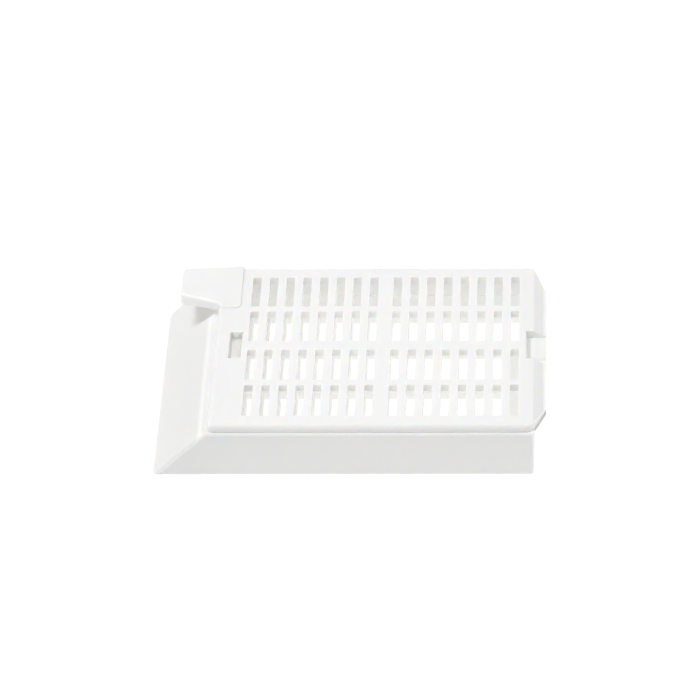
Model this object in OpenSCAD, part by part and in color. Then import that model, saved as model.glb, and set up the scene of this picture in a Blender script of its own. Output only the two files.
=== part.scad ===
// Tissue cassette: a slotted tray with a sloped label panel, closed by a slotted lid that snaps shut.
// Origin: middle of the closed cassette's footprint, on its underside. The label slope faces -X,
// the lid swings about the flange at the +X end, and +Z is up.
// Inside the modules x runs along the cassette from the toe of the label slope.

/* [Tray] */
// Length from the toe of the label slope to the outside of the end wall
tray_l = 40; // [38:0.5:44]
// Width of the tray at its rim
tray_w = 28.5; // [27:0.5:32]
// Height of the rim above the underside
tray_h = 5.5; // [5:0.25:7]
// Thickness of the side and end walls
wall_t = 1; // [0.8:0.05:1.2]
// How far each outer wall leans in from the rim down to the underside
wall_draft = 0.1; // [0.02:0.02:0.2]
// Thickness of the slotted floor
floor_t = 0.9; // [0.6:0.1:1.4]
// Radius of the upright corners at the end wall
corner_r = 0.6; // [0.3:0.1:1]
// Radius along the foot of the side walls
foot_r = 0.4; // [0.2:0.1:0.8]
// Radius along the foot of the end wall
end_foot_r = 0.6; // [0.2:0.1:1]
// Radius along the upper outer edges of the side walls
rim_r = 0.2; // [0.05:0.05:0.25]
// Radius in the upright corners inside the tray
inside_r = 0.5; // [0.2:0.1:0.8]
// Height of the step around the inside of the walls
step_z = 3.1; // [2:0.1:4]
// Width of that step
step_w = 0.15; // [0.05:0.05:0.3]

/* [Label slope] */
// Angle of the label slope above the underside
slope_angle = 45; // [42:1:52]
// Thickness of the label panel
panel_t = 1; // [0.8:0.1:1.4]
// Flat deck between the top of the slope and the lid
deck_l = 0.5; // [0.4:0.1:1.5]
// Radius of the soft ridge between the slope and that deck
ridge_r = 1; // [0.2:0.1:1]
// Distance from the lid's edge to the inside of the cross wall behind the label
cross_wall_in = 2.8; // [2.6:0.1:3.5]
// Thickness of the cross wall
cross_wall_t = 1; // [0.8:0.1:1.4]
// Width of the bevel along both sides of the slope
slope_bevel = 0.45; // [0.2:0.05:0.7]
// Plan radius of the slope's toe corner on the tab side
toe_r_tab = 1.3; // [0.6:0.1:2]
// Plan radius of the slope's other toe corner
toe_r_plain = 0.9; // [0.6:0.1:2]

/* [Lid slots] */
// Columns of slots on each side of the middle rib
half_columns = 8; // [4:1:8]
// Rows of slots on each side of the middle rib
half_rows = 2; // [1:1:2]
// Width of a lid slot
slot_w = 0.89; // [0.6:0.01:0.95]
// Length of a lid slot
slot_l = 5.23; // [4:0.01:5.4]
// Radius in the corners of a lid slot
slot_r = 0.15; // [0.05:0.05:0.25]
// Rib between two columns
column_rib = 0.92; // [0.8:0.01:0.95]
// Middle rib between the two halves of the columns
middle_column_rib = 1.65; // [1:0.05:2]
// Rib between two rows
row_rib = 0.9; // [0.7:0.05:1.2]
// Middle rib between the two halves of the rows
middle_row_rib = 1.53; // [1:0.05:2]

/* [Floor slots] */
// Width of a floor slot
floor_slot_w = 1.35; // [0.8:0.05:1.4]
// Length of a floor slot
floor_slot_l = 4.7; // [3.5:0.1:4.8]
// Rib between two rows of floor slots
floor_row_rib = 1.75; // [1:0.05:1.9]
// Middle rib between the two halves of the floor slots
floor_middle_rib = 2.3; // [1.5:0.1:2.5]

/* [End flange and lug] */
// How far the flange stands out past the end wall
flange_out = 1.15; // [0.9:0.05:1.6]
// Thickness of the flange
flange_t = 0.5; // [0.4:0.05:0.8]
// Length of the corner chamfers along the cassette
chamfer_l = 1.47; // [1.2:0.05:2]
// Length of the corner chamfers across the cassette
chamfer_w = 3.6; // [2.5:0.1:5]
// Radius where a chamfer meets the side
chamfer_r = 1.2; // [0.6:0.1:1.6]
// Height of the locating lug above the rim
lug_h = 0.45; // [0.3:0.05:0.6]
// Width of the lug
lug_w = 3.4; // [2:0.1:4]
// Radius of the lug's back
lug_r = 0.8; // [0.6:0.05:0.9]
// Distance from the lug to the edge of the flange
lug_set_back = 0.1; // [0.05:0.05:0.3]

/* [Lid] */
// Thickness of the lid plate
lid_t = 0.9; // [0.75:0.05:1.2]
// Width of the rim left bare beside the lid
rim_bare = 0.34; // [0.1:0.02:0.6]
// Radius along the lid's top edges
lid_edge_r = 0.45; // [0.1:0.05:0.45]
// Radius along the lid's lower edges
lid_foot_r = 0.15; // [0.05:0.05:0.2]
// Plan radius of the lid's corner beside the slope
lid_corner_r = 0.6; // [0.5:0.1:1.2]
// Length of the lid's bevelled end
lid_bevel_l = 1; // [0.6:0.05:1.1]
// Thickness of the thin lip past the bevel
lip_t = 0.25; // [0.15:0.05:0.4]
// Length of that lip
lip_l = 0.32; // [0.2:0.02:0.5]
// Length of the notch in the lid's end for the lug
notch_l = 2.15; // [1.9:0.05:2.2]

/* [Latch] */
// Height of the latch nub above the rim
nub_h = 0.5; // [0.3:0.05:0.6]
// Width of the nub
nub_w = 3; // [2:0.1:4]
// Radius of the nub
nub_r = 0.42; // [0.36:0.02:0.5]
// Distance from the nub to the inside of the cross wall
nub_set_back = 0.05; // [0.02:0.01:0.2]
// Running gap in front of the nub
latch_gap = 0.08; // [0.05:0.01:0.15]
// Free space behind the nub and behind the lug
back_gap = 0.15; // [0.1:0.05:0.3]
// Free space beside the nub and the lug, at each end
end_gap = 0.7; // [0.4:0.05:1]
// How far the back faces of the lid's two openings lean out
opening_lean = 0.23; // [0:0.01:0.25]
// Radius of the reliefs in the latch window's corners
relief_r = 0.12; // [0.05:0.01:0.15]

/* [Finger tab] */
// How far the tab reaches out from the lid's edge over the slope
tab_l = 4.28; // [3.5:0.1:5]
// Width of the tab at its tip
tab_tip_w = 4.75; // [3:0.25:6]
// Width of the tab where it leaves the lid
tab_root_w = 6.53; // [6:0.25:9]
// How far the raised pad runs in over the lid
pad_l = 2.4; // [1.3:0.1:2.5]
// How much wider the raised pad is than the root of the tab
pad_wider = 0.8; // [0.3:0.05:1]
// Height of the raised pad above the lid at its inner edge
pad_up = 0.15; // [0.05:0.01:0.25]
// Height of the tab's tip above the lid plate
tip_up = 0.03; // [0:0.01:0.1]
// Thickness of the tab at its tip
tab_tip_t = 1.43; // [1.1:0.01:1.8]
// Plan radius of the tab's outer corner
tab_r = 0.75; // [0.3:0.05:1]
// Plan radius of the tab's inner corner
tab_small_r = 0.35; // [0.2:0.05:0.5]
// Plan radius of the pad's corner
pad_r = 0.6; // [0.3:0.05:0.9]

/* [Finger recess] */
// How far short of the tab's tip the recess stops
recess_short = 1.38; // [1:0.1:1.8]
// Height of the recess's floor above the underside
recess_z = 1.6; // [1.2:0.1:2]
// Thickness of the recess's own walls
recess_wall_t = 0.8; // [0.6:0.1:1]
// Gap between the tab and the recess's slanting wall
recess_gap = 0.32; // [0.2:0.02:0.5]
// Length over which that wall turns in to the lid
recess_turn_l = 0.6; // [0.4:0.1:1.2]
// How far that wall turns in there
recess_turn_w = 0.5; // [0.2:0.1:0.7]
// Clearance under the tab
tab_gap = 0.15; // [0.1:0.01:0.25]

/* [Hidden] */
$fn = 48;
plastic = "#f3f2ef";
over = 1;
overall_l = tray_l + flange_out;
rim_y = tray_w / 2;
slope_run = tray_h / tan(slope_angle);
lid_x = slope_run + deck_l;
inner_x = lid_x + cross_wall_in;
end_inner_x = tray_l - wall_t;
inner_y = rim_y - wall_t;
lid_y = rim_y - rim_bare;
lid_top = tray_h + lid_t;
slots_x = (inner_x + end_inner_x) / 2;
last_column = 2 * half_columns - 1;
last_row = 2 * half_rows - 1;
crease_x = overall_l - lip_l - lid_bevel_l;
notch_x = overall_l - notch_l;
lug_x = notch_x + opening_lean + back_gap + sqrt(2 * lug_r * lug_h - lug_h ^ 2);
nub_x = inner_x - nub_set_back - nub_r;
tab_tip_x = lid_x - tab_l;
tab_tip_y = lid_y - tab_tip_w;
tab_root_y = lid_y - tab_root_w;
tab_tip_z = lid_top + tip_up - tab_tip_t;
pad_x = lid_x + pad_l;
pad_y = tab_root_y - pad_wider;
recess_x = tab_tip_x + recess_short;

// ---- outlines with rounded corners, each corner given as [x, y, radius] ----

function unit(v) = v / norm(v);
function corner(c, i) = [c[i % len(c)][0], c[i % len(c)][1]];
function to_last(c, i) = unit(corner(c, i + len(c) - 1) - corner(c, i));
function to_next(c, i) = unit(corner(c, i + 1) - corner(c, i));
function half_angle(c, i) = acos(to_last(c, i) * to_next(c, i)) / 2;
function run_in(c, i) = c[i][2] / tan(half_angle(c, i));
function corner_points(c, i) = c[i][2] == 0
    ? [corner(c, i)]
    : [corner(c, i) + run_in(c, i) * to_last(c, i), corner(c, i) + run_in(c, i) * to_next(c, i)];
function round_centre(c, i) =
    corner(c, i) + c[i][2] / sin(half_angle(c, i)) * unit(to_last(c, i) + to_next(c, i));

module rounded_outline(c) {
    polygon([for (i = [0:len(c) - 1]) each corner_points(c, i)]);
    for (i = [0:len(c) - 1])
        if (c[i][2] > 0) translate(round_centre(c, i)) circle(c[i][2]);
}

// Extrudes a side view, drawn in x and z, across the cassette between two values of y
module across(y_low, y_high) {
    translate([0, y_high, 0]) rotate([90, 0, 0]) linear_extrude(y_high - y_low) children();
}

// Extrudes an end view, drawn in y and z, along the cassette from the toe
module along(l) {
    rotate([90, 0, 90]) linear_extrude(l) children();
}

// ---- patterns ----

// Place of the n-th of 2 * half slots along a line, with a wider rib in the middle
function slot_place(n, half, size, rib, middle_rib) =
    (n - half + 0.5) * (size + rib) + (n < half ? -1 : 1) * (middle_rib - rib) / 2;
function column_x(n) = slots_x + slot_place(n, half_columns, slot_w, column_rib, middle_column_rib);
function row_y(n) = slot_place(n, half_rows, slot_l, row_rib, middle_row_rib);
function floor_row_y(n) = slot_place(n, half_rows, floor_slot_l, floor_row_rib, floor_middle_rib);

// The flange and the lid share the chamfered corners of this end, seen from above
function end_corners(x_from, r_from) = [
    [x_from, -lid_y, r_from],
    [overall_l - chamfer_l, -lid_y, chamfer_r],
    [overall_l, chamfer_w - lid_y, 0],
    [overall_l, lid_y - chamfer_w, 0],
    [overall_l - chamfer_l, lid_y, chamfer_r],
    [x_from, lid_y, 0]
];

// ---- base ----

// Outer form: a side view, an end view and a plan view, all cut from one block
module tray_body() {
    intersection() {
        across(-rim_y, rim_y) rounded_outline([
            [0, 0, 0],
            [tray_l - wall_draft, 0, end_foot_r],
            [tray_l, tray_h, 0],
            [slope_run, tray_h, ridge_r]
        ]);
        along(tray_l) rounded_outline([
            [wall_draft - rim_y, 0, foot_r],
            [rim_y - wall_draft, 0, foot_r],
            [rim_y, tray_h, rim_r],
            [-rim_y, tray_h, rim_r]
        ]);
        linear_extrude(tray_h) rounded_outline([
            [0, -rim_y, toe_r_plain],
            [tray_l, -rim_y, corner_r],
            [tray_l, rim_y, corner_r],
            [0, rim_y, toe_r_tab]
        ]);
    }
}

// Cut along the edge between the slope and one side wall
module slope_side_bevel(side) {
    slope_l = norm([slope_run, tray_h]);
    rotate([0, -slope_angle, 0])
        translate([0, side * (rim_y - wall_draft), 0])
            rotate([0, 0, side * asin(wall_draft / slope_l)])
                rotate([-45 * side, 0, 0])
                    translate([-over, -slope_bevel - over, -slope_bevel / 2])
                        cube([slope_l + 2 * over, 2 * (slope_bevel + over), over]);
}

// The space for the specimen: the walls are thicker below the step
module specimen_space() {
    for (z = [step_z, floor_t]) {
        inset = z == step_z ? 0 : step_w;
        x_low = inner_x + inset;
        x_high = end_inner_x - inset;
        y = inner_y - inset;
        translate([0, 0, z]) linear_extrude(tray_h) rounded_outline([
            [x_low, -y, inside_r],
            [x_high, -y, inside_r],
            [x_high, y, inside_r],
            [x_low, y, inside_r]
        ]);
    }
}

// Slots through the floor, apart from the two that the solid pad under the lug takes up
module floor_slots() {
    for (column = [0:last_column], row = [0:last_row])
        if (column < last_column || row == 0 || row == last_row)
            translate([column_x(column) - floor_slot_w / 2, floor_row_y(row) - floor_slot_l / 2, -over])
                cube([floor_slot_w, floor_slot_l, floor_t + 2 * over]);
}

// Hollow underside of the label panel, kept clear of the finger recess's own walls
module label_cavity() {
    cavity_x = panel_t / sin(slope_angle);
    cavity_h = tray_h - panel_t;
    cavity_end_x = inner_x - cross_wall_t;
    block_x = recess_x - recess_wall_t;
    block_y = pad_y - recess_wall_t;
    difference() {
        across(-inner_y, inner_y) polygon([
            [cavity_x - over / tan(slope_angle), -over],
            [cavity_x + cavity_h / tan(slope_angle), cavity_h],
            [cavity_end_x, cavity_h],
            [cavity_end_x, -over]
        ]);
        translate([block_x, block_y, recess_z - recess_wall_t])
            cube([cavity_end_x - block_x + over, inner_y - block_y + over, tray_h]);
    }
}

function tab_front_y(x) = tab_tip_y + (x - tab_tip_x) / tab_l * (tab_root_y - tab_tip_y);

// The recess seen from above, as far as a given y at the back
module recess_plan(back_y) {
    turn_x = lid_x - recess_turn_l;
    turn_y = tab_front_y(turn_x) - recess_gap;
    polygon([
        [recess_x, back_y],
        [recess_x, tab_front_y(recess_x) - recess_gap],
        [turn_x, turn_y],
        [lid_x, turn_y - recess_turn_w],
        [lid_x + tab_gap, turn_y - recess_turn_w],
        [lid_x + tab_gap, back_y]
    ]);
}

// Room for a fingertip under the tab, and clearance for the tab over the back wall
module finger_recess() {
    translate([0, 0, recess_z]) linear_extrude(tray_h) recess_plan(inner_y);
    intersection() {
        across(0, rim_y + over) polygon([
            [tab_tip_x, tab_tip_z - tab_gap],
            [lid_x, tray_h - tab_gap],
            [lid_x + tab_gap, tray_h - tab_gap],
            [lid_x + tab_gap, tray_h + over],
            [tab_tip_x, tray_h + over]
        ]);
        linear_extrude(tray_h + over) recess_plan(rim_y + over);
    }
}

module end_flange() {
    translate([0, 0, tray_h - flange_t]) linear_extrude(flange_t)
        rounded_outline(end_corners(overall_l - chamfer_l - 2 * chamfer_r, 0));
}

// The lug stands on the end wall and the flange, with a round back
module end_lug() {
    across(-lug_w / 2, lug_w / 2) intersection() {
        union() {
            translate([lug_x, tray_h + lug_h - lug_r]) circle(lug_r);
            translate([lug_x, tray_h - flange_t])
                square([overall_l - lug_set_back - lug_x, lug_h + flange_t]);
        }
        translate([end_inner_x, tray_h - flange_t / 2])
            square([overall_l - lug_set_back - end_inner_x, lug_h + flange_t / 2]);
    }
}

module latch_nub() {
    across(-nub_w / 2, nub_w / 2) translate([nub_x, tray_h + nub_h - nub_r]) circle(nub_r);
}

module base() {
    color(plastic) translate([-overall_l / 2, 0, 0]) {
        difference() {
            union() {
                tray_body();
                end_flange();
            }
            specimen_space();
            floor_slots();
            label_cavity();
            finger_recess();
            slope_side_bevel(-1);
            slope_side_bevel(1);
        }
        end_lug();
        latch_nub();
    }
}

// ---- lid ----

// The plate, with its bevelled end and thin lip: a side view, an end view and a plan view
module lid_plate() {
    intersection() {
        across(-rim_y, rim_y) rounded_outline([
            [lid_x, tray_h, lid_foot_r],
            [overall_l, tray_h, 0],
            [overall_l, tray_h + lip_t, 0],
            [overall_l - lip_l, tray_h + lip_t, 0],
            [crease_x, lid_top, 0],
            [lid_x, lid_top, lid_edge_r]
        ]);
        along(overall_l) rounded_outline([
            [-lid_y, tray_h, lid_foot_r],
            [lid_y, tray_h, lid_foot_r],
            [lid_y, lid_top, lid_edge_r],
            [-lid_y, lid_top, lid_edge_r]
        ]);
        linear_extrude(lid_top) rounded_outline(end_corners(lid_x, lid_corner_r));
    }
}

module lid_slots() {
    for (column = [0:last_column], row = [0:last_row])
        translate([column_x(column), row_y(row), tray_h - over])
            linear_extrude(lid_t + 2 * over) rounded_outline([
                [-slot_w / 2, -slot_l / 2, slot_r],
                [slot_w / 2, -slot_l / 2, slot_r],
                [slot_w / 2, slot_l / 2, slot_r],
                [-slot_w / 2, slot_l / 2, slot_r]
            ]);
}

// Cuts an opening whose back face leans out towards the top
module leaning_opening(x_low, x_high, half_w) {
    lean = opening_lean / lid_t * over;
    across(-half_w, half_w) polygon([
        [x_low + lean, tray_h - over],
        [x_high, tray_h - over],
        [x_high, lid_top + over],
        [x_low - opening_lean - lean, lid_top + over]
    ]);
}

module latch_window() {
    window_x = nub_x - nub_r - back_gap;
    half_w = nub_w / 2 + end_gap;
    leaning_opening(window_x, nub_x + nub_r + latch_gap, half_w);
    for (x = [window_x, nub_x + nub_r + latch_gap])
        translate([x, half_w, tray_h - over]) cylinder(h = lid_t + 2 * over, r = relief_r);
}

module finger_tab() {
    intersection() {
        across(0, lid_y) polygon([
            [tab_tip_x, tab_tip_z],
            [lid_x, tray_h],
            [pad_x, tray_h],
            [pad_x, lid_top + pad_up],
            [tab_tip_x, lid_top + tip_up]
        ]);
        linear_extrude(lid_top + over) rounded_outline([
            [tab_tip_x, lid_y, tab_r],
            [tab_tip_x, tab_tip_y, tab_small_r],
            [lid_x, tab_root_y, 0],
            [lid_x + lid_edge_r, pad_y, 0],
            [pad_x, pad_y, pad_r],
            [pad_x, lid_y, 0]
        ]);
    }
}

module lid() {
    color(plastic) translate([-overall_l / 2, 0, 0]) {
        difference() {
            lid_plate();
            lid_slots();
            latch_window();
            leaning_opening(notch_x + opening_lean, overall_l + over, lug_w / 2 + end_gap);
        }
        finger_tab();
    }
}

base();
lid();
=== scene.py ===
import math

import bmesh
import bpy
from mathutils import Matrix, Vector


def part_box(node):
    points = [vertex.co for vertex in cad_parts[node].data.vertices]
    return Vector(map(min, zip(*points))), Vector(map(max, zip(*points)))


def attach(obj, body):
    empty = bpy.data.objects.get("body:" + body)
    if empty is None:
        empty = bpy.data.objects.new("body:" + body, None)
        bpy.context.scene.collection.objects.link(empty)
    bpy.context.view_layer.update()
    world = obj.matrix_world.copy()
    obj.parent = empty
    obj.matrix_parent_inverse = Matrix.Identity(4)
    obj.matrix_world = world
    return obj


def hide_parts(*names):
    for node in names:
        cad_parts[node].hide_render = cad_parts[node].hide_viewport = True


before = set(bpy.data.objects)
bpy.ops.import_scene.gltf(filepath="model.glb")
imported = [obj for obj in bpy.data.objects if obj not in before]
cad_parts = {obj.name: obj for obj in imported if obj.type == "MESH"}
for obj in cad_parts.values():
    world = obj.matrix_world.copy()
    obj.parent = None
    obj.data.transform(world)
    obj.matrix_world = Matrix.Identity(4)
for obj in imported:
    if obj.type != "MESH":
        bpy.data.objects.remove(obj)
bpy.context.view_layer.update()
MM = 0.001

# ---- The view ----
# The cassette is seen from the front and above with a long lens, the label slope to the left.
# The camera is held a little off level, so the long edges run slightly down to the right.
look_at = Vector((-0.654, 7.529, 0)) * MM
camera_turn = math.radians(3.352)
camera_rise = math.radians(37.20)
camera_roll = math.radians(-2.135)
camera_distance = 499.855 * MM
lens_mm = 237.6
sensor_mm = 36

back = Vector((
    math.sin(camera_turn) * math.cos(camera_rise),
    -math.cos(camera_turn) * math.cos(camera_rise),
    math.sin(camera_rise),
))
level_right = Vector((math.cos(camera_turn), math.sin(camera_turn), 0))
level_up = back.cross(level_right)
right = math.cos(camera_roll) * level_right + math.sin(camera_roll) * level_up
up = back.cross(right)

camera_data = bpy.data.cameras.new("camera")
camera_data.lens = lens_mm
camera_data.sensor_width = sensor_mm
camera_data.clip_start = 50 * MM
camera_data.clip_end = 5
camera = bpy.data.objects.new("camera", camera_data)
camera.matrix_world = Matrix((
    (right.x, up.x, back.x, 0),
    (right.y, up.y, back.y, 0),
    (right.z, up.z, back.z, 0),
    (0, 0, 0, 1),
))
camera.location = look_at + camera_distance * back
bpy.context.scene.collection.objects.link(camera)
bpy.context.scene.camera = camera

# ---- Base ----
# The tray: one injection moulding in white acetal, with a slotted floor, a sloped label panel
# and thin walls that let light through. Its edges are slightly rounded, as the mould leaves them.
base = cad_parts["base"]
toe_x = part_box("base")[0][0] / MM       # the slope's toe; places along x are counted from it
base_half_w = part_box("base")[1][1] / MM
side_y = base_half_w - 0.25             # just inside the tray's two long sides
deck_z = 5.5                            # the walls' top; the slope rises to it at 45 degrees
near = 0.1                              # as close to a face or a corner as counts
upright = 0.9                           # an edge with more climb than this stands upright
nearly_flat = 25                        # degrees between two faces that shade as one


def joined_form(node):
    """The solid's own faces, with those that lie flat together joined."""
    form = bmesh.new()
    form.from_mesh(node.data)
    bmesh.ops.remove_doubles(form, verts=form.verts, dist=0.0005 * MM)
    bmesh.ops.dissolve_limit(
        form, angle_limit=math.radians(0.5), verts=form.verts, edges=form.edges)
    return form


def finished_piece(name, form, radius, edge_radius):
    """Makes a piece of a form, each edge rounded by what edge_radius gives for it."""
    share = form.edges.layers.float.new("bevel_weight_edge")
    for edge in form.edges:
        if len(edge.link_faces) == 2:
            turn = math.degrees(edge.calc_face_angle_signed())
            middle = (edge.verts[0].co + edge.verts[1].co) / (2 * MM)
            along = (edge.verts[1].co - edge.verts[0].co).normalized()
            edge[share] = edge_radius(middle, along, turn) / radius
            edge.smooth = abs(turn) < nearly_flat or edge[share] > 0
    mesh = bpy.data.meshes.new(name)
    form.to_mesh(mesh)
    form.free()
    for face in mesh.polygons:
        face.use_smooth = True
    piece = bpy.data.objects.new(name, mesh)
    bpy.context.scene.collection.objects.link(piece)
    rounding = piece.modifiers.new("rounded_edges", "BEVEL")
    rounding.width = radius * MM
    rounding.segments = 4
    rounding.limit_method = "WEIGHT"
    rounding.use_clamp_overlap = False
    rounding.loop_slide = False
    rounding.miter_outer = "MITER_SHARP"
    normals = piece.modifiers.new("even_shading", "WEIGHTED_NORMAL")
    normals.keep_sharp = True
    return piece


def soften_recess(form, low, high, step, passes):
    """Turns the recess into a soft scoop: cuts a fine grid over the faces in a box, leans the
    points below the slope towards the back and the end wall, and then relaxes the grid."""
    hair = 0.0001 * MM

    def inside(face):
        return all(low[i] - hair < v.co[i] < high[i] + hair for v in face.verts for i in range(3))

    def reaches_in(face):
        return any(low[i] < max(v.co[i] for v in face.verts)
                   and min(v.co[i] for v in face.verts) < high[i] for i in range(3))

    def cut(faces, axis, place):
        edges = {e for f in faces for e in f.edges}
        points = {v for f in faces for v in f.verts}
        normal = [1.0 * (i == axis) for i in range(3)]
        bmesh.ops.bisect_plane(form, geom=list(edges | points) + faces, dist=hair,
                               plane_co=[place * n for n in normal], plane_no=normal)

    for axis in range(3):
        for place in (low[axis], high[axis]):
            cut([f for f in form.faces if reaches_in(f)], axis, place)
    for axis in range(3):
        count = round((high[axis] - low[axis]) / step)
        for n in range(1, count):
            cut([f for f in form.faces if inside(f)], axis, low[axis] + n * step)

    patch = {f for f in form.faces if inside(f)}
    free = [v for v in form.verts if v.link_faces and all(f in patch for f in v.link_faces)]
    lean_x, lean_y = 1.6, 0.75
    skin, deepest = 0.05, 1.2
    for v in free:
        surface = min(v.co.x / MM - toe_x, deck_z)
        depth = min(max(surface - v.co.z / MM - skin, 0), deepest)
        v.co.x += lean_x * depth * MM
        v.co.y += lean_y * depth * MM
    for _ in range(passes):
        bmesh.ops.smooth_vert(form, verts=free, factor=0.5,
                              use_axis_x=True, use_axis_y=True, use_axis_z=True)


def base_edge_radius(middle, along, turn):
    """Rounds that fade out up the sides of the slope, small ones along the top of the walls."""
    x = middle.x - toe_x
    on_a_side = abs(middle.y) > side_y and near < middle.z and x < deck_z - near
    if on_a_side and turn > 60:
        return 0.19 - 0.02 * middle.z
    on_the_walls = middle.z >= deck_z - near and 7 <= x <= 39.5
    return 0.07 if on_the_walls and turn >= nearly_flat and abs(along.z) <= upright else 0


def acetal(name, colour, roughness, clarity_up, clarity_side):
    """Satin white acetal: light spreads inside it, the surface has a very fine grain. Clarity is
    the share of the light that comes straight through, for level faces and for walls."""
    material = bpy.data.materials.new(name)
    material.use_nodes = True
    nodes = material.node_tree.nodes
    link = material.node_tree.links.new
    shader = nodes["Principled BSDF"]
    shader.inputs["Base Color"].default_value = (*colour, 1)
    shader.inputs["Roughness"].default_value = roughness
    shader.inputs["IOR"].default_value = 1.48
    shader.inputs["Subsurface Weight"].default_value = 1.0
    shader.inputs["Subsurface Radius"].default_value = (1.0, 0.85, 0.65)
    shader.inputs["Subsurface Scale"].default_value = 0.15 * MM

    place = nodes.new("ShaderNodeTexCoord")
    grain = nodes.new("ShaderNodeTexNoise")
    grain.inputs["Scale"].default_value = 9000
    grain.inputs["Detail"].default_value = 2
    link(place.outputs["Object"], grain.inputs["Vector"])
    bump = nodes.new("ShaderNodeBump")
    bump.inputs["Strength"].default_value = 0.15
    bump.inputs["Distance"].default_value = 0.02 * MM
    link(grain.outputs["Fac"], bump.inputs["Height"])
    link(bump.outputs["Normal"], shader.inputs["Normal"])

    glow = nodes.new("ShaderNodeBsdfTranslucent")
    glow.inputs["Color"].default_value = (1, 1, 0.988, 1)
    shape = nodes.new("ShaderNodeNewGeometry")
    split = nodes.new("ShaderNodeSeparateXYZ")
    link(shape.outputs["Normal"], split.inputs["Vector"])
    level = nodes.new("ShaderNodeMath")
    level.operation = "ABSOLUTE"
    link(split.outputs["Z"], level.inputs[0])
    clarity = nodes.new("ShaderNodeMapRange")
    clarity.inputs["From Min"].default_value = 0.3
    clarity.inputs["From Max"].default_value = 0.9
    clarity.inputs["To Min"].default_value = clarity_side
    clarity.inputs["To Max"].default_value = clarity_up
    link(level.outputs["Value"], clarity.inputs["Value"])
    blend = nodes.new("ShaderNodeMixShader")
    link(clarity.outputs["Result"], blend.inputs["Fac"])
    link(shader.outputs["BSDF"], blend.inputs[1])
    link(glow.outputs["BSDF"], blend.inputs[2])
    link(blend.outputs["Shader"], nodes["Material Output"].inputs["Surface"])
    return material


def outside(material, y_fade, x_fade):
    """A mask: 1 on the front and towards the toe, 0 elsewhere. A fade gives, in mm, the places
    where the mask is 0 and where it is 1."""
    nodes = material.node_tree.nodes
    link = material.node_tree.links.new
    place = nodes.new("ShaderNodeTexCoord")
    split = nodes.new("ShaderNodeSeparateXYZ")
    link(place.outputs["Object"], split.inputs["Vector"])
    either = nodes.new("ShaderNodeMath")
    either.operation = "MAXIMUM"
    for slot, (axis, (start, end)) in enumerate((("Y", y_fade), ("X", x_fade))):
        edge = nodes.new("ShaderNodeMapRange")
        edge.inputs["From Min"].default_value = start * MM
        edge.inputs["From Max"].default_value = end * MM
        link(split.outputs[axis], edge.inputs["Value"])
        link(edge.outputs["Result"], either.inputs[slot])
    return either.outputs["Value"]


def hollow(material, centre, size):
    """A mask: 1 in the middle of an egg-shaped region, given in mm, and 0 outside it."""
    nodes = material.node_tree.nodes
    link = material.node_tree.links.new
    place = nodes.new("ShaderNodeTexCoord")
    around = nodes.new("ShaderNodeMapping")
    around.vector_type = "TEXTURE"
    around.inputs["Location"].default_value = Vector(centre) * MM
    around.inputs["Scale"].default_value = Vector(size) * MM
    link(place.outputs["Object"], around.inputs["Vector"])
    ball = nodes.new("ShaderNodeTexGradient")
    ball.gradient_type = "SPHERICAL"
    link(around.outputs["Vector"], ball.inputs["Vector"])
    full_at = 0.35                      # how far in, as a share, the mask reaches 1
    edge = nodes.new("ShaderNodeMapRange")
    edge.inputs["From Max"].default_value = full_at
    link(ball.outputs["Fac"], edge.inputs["Value"])
    return edge.outputs["Result"]


def tint(material, mask, colour, blend_type):
    """Blends a colour into the material's own colour where the mask says."""
    nodes = material.node_tree.nodes
    link = material.node_tree.links.new
    own = nodes["Principled BSDF"].inputs["Base Color"]
    mix = nodes.new("ShaderNodeMix")
    mix.data_type = "RGBA"
    mix.blend_type = blend_type
    mix.inputs["A"].default_value = own.default_value
    mix.inputs["B"].default_value = (*colour, 1)
    link(mask, mix.inputs["Factor"])
    if own.links:
        link(own.links[0].from_socket, mix.inputs["A"])
    link(mix.outputs["Result"], own)


def dim(material, mask, share):
    """Leaves only a share of the material's clarity where the mask says."""
    nodes = material.node_tree.nodes
    link = material.node_tree.links.new
    clarity = nodes["Mix Shader"].inputs["Fac"]
    left = nodes.new("ShaderNodeMapRange")
    left.inputs["To Min"].default_value = 1
    left.inputs["To Max"].default_value = share
    link(mask, left.inputs["Value"])
    less = nodes.new("ShaderNodeMath")
    less.operation = "MULTIPLY"
    link(clarity.links[0].from_socket, less.inputs[0])
    link(left.outputs["Result"], less.inputs[1])
    link(less.outputs["Value"], clarity)


def light_up(material, mask, extra):
    """Adds extra clarity where the mask says, as where light gathers between close walls."""
    nodes = material.node_tree.nodes
    link = material.node_tree.links.new
    clarity = nodes["Mix Shader"].inputs["Fac"]
    more = nodes.new("ShaderNodeMath")
    more.operation = "MULTIPLY_ADD"
    more.use_clamp = True
    more.inputs[1].default_value = extra
    link(mask, more.inputs[0])
    link(clarity.links[0].from_socket, more.inputs[2])
    link(more.outputs["Value"], clarity)


base_form = joined_form(base)
recess_low = Vector((toe_x + 2.3, 6.2, 1.4)) * MM
recess_high = Vector((toe_x + 6.1, 12.4, 5.6)) * MM
soften_recess(base_form, recess_low, recess_high, step=0.12 * MM, passes=90)

# The slope's side edges are cut into short ones, so that their round can fade out.
slope_sides = [
    e for e in base_form.edges
    if len(e.link_faces) == 2 and e.calc_face_angle() > 1 and e.calc_length() > MM
    and all(abs(v.co.y) > side_y * MM for v in e.verts)
    and (e.verts[0].co.z + e.verts[1].co.z) / 2 > near * MM
    and (e.verts[0].co.x + e.verts[1].co.x) / 2 < (toe_x + 6) * MM
]
bmesh.ops.subdivide_edges(base_form, edges=slope_sides, cuts=6)

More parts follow.
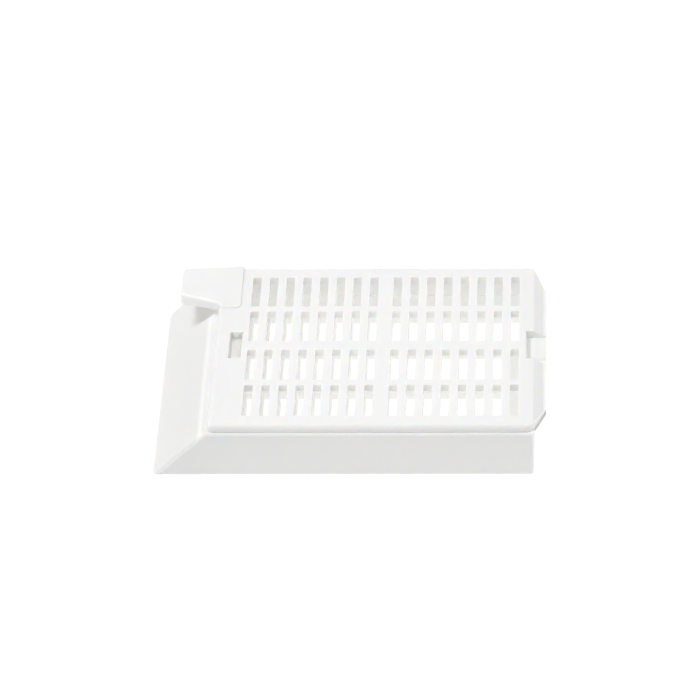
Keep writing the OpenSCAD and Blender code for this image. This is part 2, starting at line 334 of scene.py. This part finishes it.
# The front wall and the slope towards the toe carry painted shade, a greyer colour, and let less
# light through than the inside.
# The finger recess and the latch nub carry painted light, a warm near-white colour, and let more
# light through.
base_acetal = acetal("base_acetal", (0.999, 0.999, 0.987), roughness=0.26,
                     clarity_up=0.42, clarity_side=0.6)
# Painted shade: the front wall and the toe end of the slope are multiplied greyer.
painted_shade = outside(base_acetal, (0.35 - base_half_w, 0.1 - base_half_w), (toe_x + 5.3, toe_x + 4.7))
tint(base_acetal, painted_shade, (0.8, 0.798, 0.803), "MULTIPLY")
dense = outside(base_acetal, (0.85 - base_half_w, 0.55 - base_half_w), (toe_x + 6.3, toe_x + 6))
dim(base_acetal, dense, 0.12)
# Painted light: in the recess a warm near-white colour replaces the painted grey, and more light
# comes through.
recess = hollow(base_acetal, (toe_x + 4.8, 11, 2.5), (2.3, 3.4, 2.9))
tint(base_acetal, recess, (1, 0.985, 0.955), "MIX")
light_up(base_acetal, recess, 0.6)
# Painted light: around the latch nub a warm near-white colour, and more light comes through.
nub = hollow(base_acetal, (toe_x + 8.33, 0, 5), (2, 3, 2.5))
tint(base_acetal, nub, (1, 0.99, 0.96), "MIX")
light_up(base_acetal, nub, 0.6)

base_piece = finished_piece("tray", base_form, 0.2, base_edge_radius)
base_piece.data.materials.append(base_acetal)
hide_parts("base")
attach(base_piece, "base")

# ---- Lid ----
# The lid: a second injection moulding in the same acetal, a slotted plate with a finger tab.
# It lies in the rim of the tray and snaps shut; its rounded edges come from the mould.
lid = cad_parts["lid"]
lid_half_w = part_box("lid")[1][1] / MM


def lid_edge_radius(middle, along, turn):
    """Full rounds on the tab and the pad, small ones on the rest of the plate."""
    x = middle.x - toe_x
    if turn < 40 or x > 38.4:
        return 0
    if x < 5.9:
        return 0.32 if middle.z > 6 else 0.15
    return 0 if abs(along.z) > upright else 0.07


lid_acetal = acetal("lid_acetal", (0.999, 0.996, 0.99), roughness=0.22,
                    clarity_up=0.04, clarity_side=0.15)
# Painted shade: the lid's front edge and, fading in, the tab are multiplied greyer.
painted_shade = outside(lid_acetal, (0.6 - lid_half_w, 0.15 - lid_half_w), (toe_x + 8, toe_x - 4))
tint(lid_acetal, painted_shade, (0.87, 0.87, 0.875), "MULTIPLY")

lid_piece = finished_piece("slotted_lid", joined_form(lid), 0.32, lid_edge_radius)
lid_piece.data.materials.append(lid_acetal)
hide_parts("lid")
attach(lid_piece, "lid")

# ---- Floor and light ----
# A plain white floor under a white sky, so evenly lit that the cassette stands on pure white.
# Softboxes stand all round; the key light from the left front and the right one draw the edges.
floor_reach = 3
floor_mesh = bpy.data.meshes.new("floor")
floor_mesh.from_pydata(
    [(x * floor_reach, y * floor_reach, 0) for x, y in ((-1, -1), (1, -1), (1, 1), (-1, 1))],
    [], [(0, 1, 2, 3)])
floor = bpy.data.objects.new("floor", floor_mesh)
bpy.context.scene.collection.objects.link(floor)
floor_paint = bpy.data.materials.new("floor_paint")
floor_paint.use_nodes = True
paint = floor_paint.node_tree.nodes["Principled BSDF"]
paint.inputs["Base Color"].default_value = (0.3, 0.3, 0.3, 1)
paint.inputs["Roughness"].default_value = 0.8
paint.inputs["Emission Color"].default_value = (1, 1, 1, 1)
paint.inputs["Emission Strength"].default_value = 0.76
floor.data.materials.append(floor_paint)

world = bpy.data.worlds.new("studio")
bpy.context.scene.world = world
world.use_nodes = True
sky = world.node_tree.nodes["Background"]
sky.inputs["Color"].default_value = (1, 1, 1, 1)
sky.inputs["Strength"].default_value = 0.445

# Place and size in metres, and power in watts.
softboxes = {
    "softbox_key": ((-0.5, -0.3, 0.7), 0.34, 3.6),
    "softbox_over": ((0, 0, 0.9), 0.8, 0.3),
    "softbox_back": ((0, 0.8, 0.6), 0.8, 0.7),
    "softbox_left": ((-0.85, 0, 0.5), 0.7, 1.2),
    "softbox_right": ((0.85, 0, 0.5), 0.7, 3.4),
}
for name, (place, size, watts) in softboxes.items():
    light = bpy.data.lights.new(name, "AREA")
    light.shape = "SQUARE"
    light.size = size
    light.energy = watts
    softbox = bpy.data.objects.new(name, light)
    softbox.location = place
    softbox.rotation_euler = Vector(place).to_track_quat("Z", "Y").to_euler()
    bpy.context.scene.collection.objects.link(softbox)

# White walls give back nearly all the light, so it is followed through many bounces.
bpy.context.scene.view_settings.view_transform = "Standard"
bpy.context.scene.cycles.diffuse_bounces = 64
bpy.context.scene.cycles.max_bounces = 64
bpy.context.scene.cycles.transmission_bounces = 64
